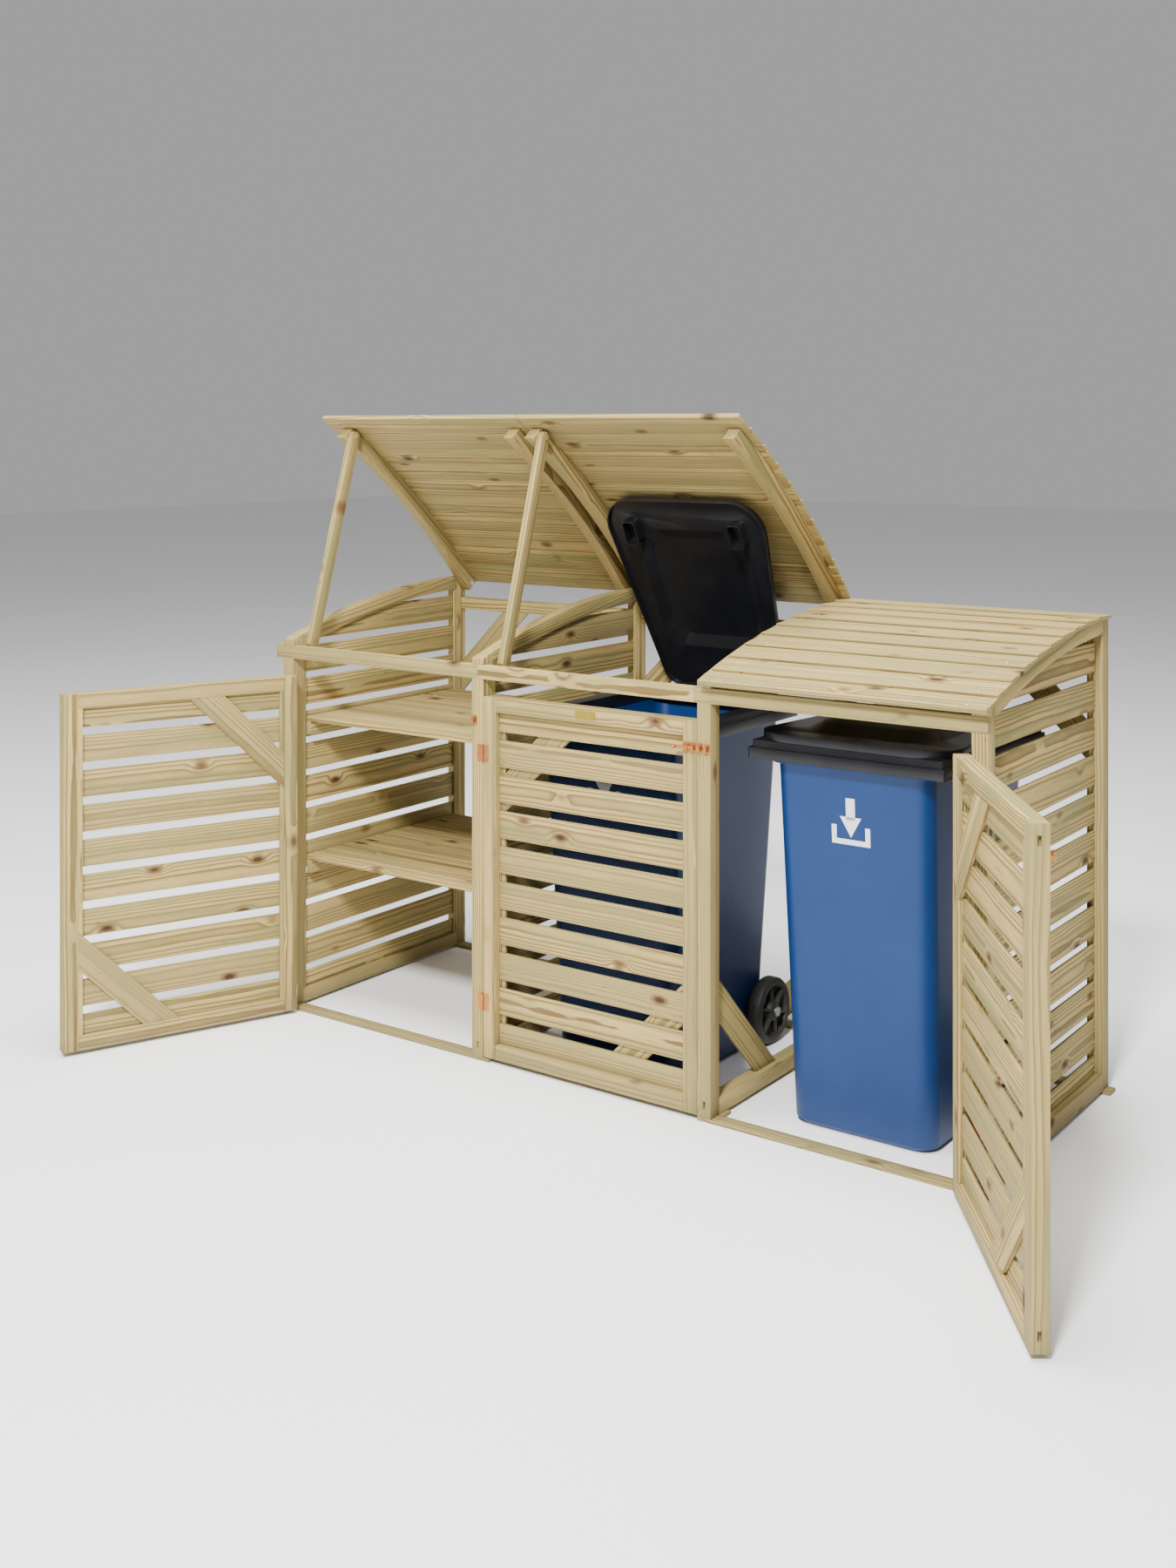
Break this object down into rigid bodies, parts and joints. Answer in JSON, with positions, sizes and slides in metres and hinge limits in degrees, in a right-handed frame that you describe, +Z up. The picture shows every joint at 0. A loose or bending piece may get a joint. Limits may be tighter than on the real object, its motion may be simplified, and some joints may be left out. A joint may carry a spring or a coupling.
{
  "type": "triple wheeled-bin store",
  "caption": "Slatted timber store with curved lids for three bays, doors and lids open, holding two blue wheeled bins.",
  "frame": {"origin": "centre of the underside of the middle bay's front ground runner", "axes": "+X to the right along the front, +Y from the front to the rear, +Z up"},
  "size_m": [3.0745, 1.607, 1.9311],
  "materials": {
    "timber": "rough sawn, pressure treated",
    "coppered_steel": "copper coloured plating",
    "zinc_steel": "zinc plated",
    "brass": "satin",
    "blue_plastic": "moulded, matt",
    "black_plastic": "moulded, matt",
    "tyre_rubber": "matt"
  },
  "bodies": {
    "store_frame": {"left_frame_posts": "timber", "left_frame_rails": "timber", "left_frame_slats": "timber", "divider_1_posts": "timber", "divider_1_rails": "timber", "divider_1_slats": "timber", "divider_2_posts": "timber", "divider_2_rails": "timber", "right_frame_posts": "timber", "right_frame_rails": "timber", "right_frame_slats": "timber", "slat_cleats": "timber", "corner_braces": "timber", "front_top_rails": "timber", "rear_top_rails": "timber", "ground_runners": "timber", "shelf_planks": "timber", "shelf_bearers": "timber", "door_hinge_fixed_leaves": "coppered_steel", "bolt_keepers": "coppered_steel", "lid_pivot_bolts": "zinc_steel", "middle_bin_body": "blue_plastic", "middle_bin_rim": "black_plastic", "middle_bin_lid_pins": "black_plastic", "middle_bin_axle": "zinc_steel", "right_bin_body": "blue_plastic", "right_bin_rim": "black_plastic", "right_bin_lid_pins": "black_plastic", "right_bin_axle": "zinc_steel"},
    "left_door": {"left_door_frame": "timber", "left_door_slats": "timber", "left_door_braces": "timber", "left_door_hardware": "coppered_steel"},
    "left_bolt": {"left_door_bolt": "coppered_steel"},
    "middle_door": {"middle_door_frame": "timber", "middle_door_slats": "timber", "middle_door_braces": "timber", "middle_door_hardware": "coppered_steel", "name_plate": "brass"},
    "middle_bolt": {"middle_door_bolt": "coppered_steel"},
    "right_door": {"right_door_frame": "timber", "right_door_slats": "timber", "right_door_braces": "timber", "right_door_hardware": "coppered_steel"},
    "right_bolt": {"right_door_bolt": "coppered_steel"},
    "left_lid": {"left_lid_boards": "timber", "left_lid_ribs": "timber"},
    "left_prop": {"left_lid_prop": "timber"},
    "middle_lid": {"middle_lid_boards": "timber", "middle_lid_ribs": "timber"},
    "middle_prop": {"middle_lid_prop": "timber"},
    "right_lid": {"right_lid_boards": "timber", "right_lid_ribs": "timber"},
    "right_prop": {"right_lid_prop": "timber"},
    "middle_bin_lid": {"middle_bin_lid": "black_plastic"},
    "middle_bin_left_wheel": {"middle_bin_left_wheel": "tyre_rubber"},
    "middle_bin_right_wheel": {"middle_bin_right_wheel": "tyre_rubber"},
    "right_bin_lid": {"right_bin_lid": "black_plastic"},
    "right_bin_left_wheel": {"right_bin_left_wheel": "tyre_rubber"},
    "right_bin_right_wheel": {"right_bin_right_wheel": "tyre_rubber"}
  },
  "joints": [
    {"name": "left_door_hinge", "type": "hinge", "parent": "store_frame", "child": "left_door", "pos_m": [-1.1715, -0.0727, 0.548], "axis": [0, 0, -1], "range_deg": [-112, 8]},
    {"name": "left_bolt_slide", "type": "slide", "parent": "left_door", "child": "left_bolt", "axis": [-0.3746, -0.9272, 0], "range_m": [0, 0.022]},
    {"name": "middle_door_hinge", "type": "hinge", "parent": "store_frame", "child": "middle_door", "pos_m": [-0.3765, -0.0727, 0.548], "axis": [0, 0, -1], "range_deg": [0, 120]},
    {"name": "middle_bolt_slide", "type": "slide", "parent": "middle_door", "child": "middle_bolt", "axis": [1, 0, 0], "range_m": [0, 0.022]},
    {"name": "right_door_hinge", "type": "hinge", "parent": "store_frame", "child": "right_door", "pos_m": [1.1715, -0.0727, 0.548], "axis": [0, 0, 1], "range_deg": [-125.5, 4.5]},
    {"name": "right_bolt_slide", "type": "slide", "parent": "right_door", "child": "right_bolt", "axis": [0.5807, -0.8141, 0], "range_m": [0, 0.022]},
    {"name": "left_lid_hinge", "type": "hinge", "parent": "store_frame", "child": "left_lid", "pos_m": [-0.795, 0.7887, 1.326], "axis": [-1, 0, 0], "range_deg": [-50, 0]},
    {"name": "left_prop_pivot", "type": "hinge", "parent": "left_lid", "child": "left_prop", "pos_m": [-1.1235, 0.16104, 1.85932], "axis": [-1, 0, 0], "range_deg": [-65, 0]},
    {"name": "middle_lid_hinge", "type": "hinge", "parent": "store_frame", "child": "middle_lid", "pos_m": [0, 0.7887, 1.326], "axis": [-1, 0, 0], "range_deg": [-50, 0]},
    {"name": "middle_prop_pivot", "type": "hinge", "parent": "middle_lid", "child": "middle_prop", "pos_m": [-0.3285, 0.16104, 1.85932], "axis": [-1, 0, 0], "range_deg": [-65, 0]},
    {"name": "right_lid_hinge", "type": "hinge", "parent": "store_frame", "child": "right_lid", "pos_m": [0.795, 0.7887, 1.326], "axis": [-1, 0, 0], "range_deg": [0, 50]},
    {"name": "right_prop_pivot", "type": "hinge", "parent": "right_lid", "child": "right_prop", "pos_m": [0.4665, -0.0233, 1.188], "axis": [-1, 0, 0], "range_deg": [0, 65]},
    {"name": "middle_bin_lid_hinge", "type": "hinge", "parent": "store_frame", "child": "middle_bin_lid", "pos_m": [-0.004, 0.6977, 1.018], "axis": [-1, 0, 0], "range_deg": [-64, 0]},
    {"name": "middle_bin_left_wheel_turn", "type": "hinge", "parent": "store_frame", "child": "middle_bin_left_wheel", "pos_m": [-0.244, 0.5677, 0.1], "axis": [1, 0, 0], "continuous": true},
    {"name": "middle_bin_right_wheel_turn", "type": "hinge", "parent": "store_frame", "child": "middle_bin_right_wheel", "pos_m": [0.236, 0.5677, 0.1], "axis": [1, 0, 0], "continuous": true},
    {"name": "right_bin_lid_hinge", "type": "hinge", "parent": "store_frame", "child": "right_bin_lid", "pos_m": [0.791, 0.6977, 1.018], "axis": [-1, 0, 0], "range_deg": [0, 64]},
    {"name": "right_bin_left_wheel_turn", "type": "hinge", "parent": "store_frame", "child": "right_bin_left_wheel", "pos_m": [0.551, 0.5677, 0.1], "axis": [1, 0, 0], "continuous": true},
    {"name": "right_bin_right_wheel_turn", "type": "hinge", "parent": "store_frame", "child": "right_bin_right_wheel", "pos_m": [1.031, 0.5677, 0.1], "axis": [1, 0, 0], "continuous": true}
  ],
  "couplings": [
    {"joint": "left_prop_pivot", "follows": "left_lid_hinge", "ratio": 1.3},
    {"joint": "middle_prop_pivot", "follows": "middle_lid_hinge", "ratio": 1.3},
    {"joint": "right_prop_pivot", "follows": "right_lid_hinge", "ratio": 1.3},
    {"joint": "middle_bin_lid_hinge", "follows": "middle_lid_hinge", "ratio": 1.28},
    {"joint": "right_bin_lid_hinge", "follows": "right_lid_hinge", "ratio": 1.28}
  ]
}
